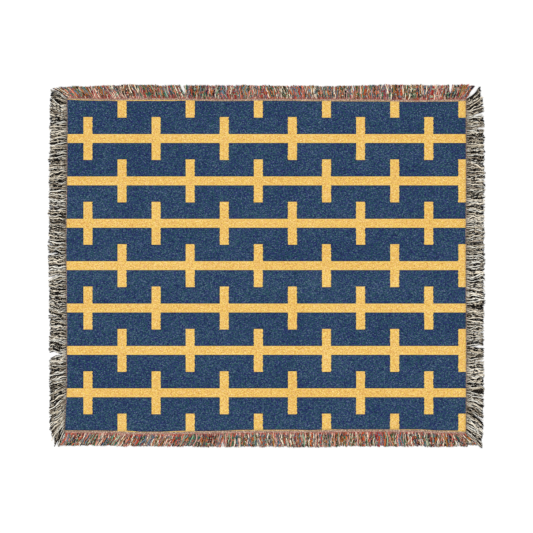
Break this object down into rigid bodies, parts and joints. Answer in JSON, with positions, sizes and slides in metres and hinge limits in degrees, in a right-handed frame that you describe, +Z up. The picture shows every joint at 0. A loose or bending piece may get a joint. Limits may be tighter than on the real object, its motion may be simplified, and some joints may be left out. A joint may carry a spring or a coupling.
{
  "type": "woven throw blanket",
  "caption": "Flat rectangular woven cotton throw with an allover pattern of staggered gold bars on blue and loose yarn fringe along all four sides.",
  "frame": {"origin": "centre of the woven panel's underside, where the blanket rests on the floor", "axes": "+X along the long side, +Y across it towards the top of the pattern, +Z up out of the cloth's face"},
  "size_m": [1.5265, 1.2676, 0.0032],
  "materials": {
    "blue_gold_cloth": "matte jacquard cloth, gold bars on navy with teal flecks",
    "multicolour_yarn": "matte cotton yarn ends in red, orange, green, teal, navy, black and cream",
    "black_cream_yarn": "matte crinkled cotton yarn ends in black and cream"
  },
  "bodies": {
    "root": {"woven_panel": "blue_gold_cloth", "fringe_top": "multicolour_yarn", "fringe_bottom": "multicolour_yarn", "fringe_left": "black_cream_yarn", "fringe_right": "black_cream_yarn"}
  },
  "joints": []
}
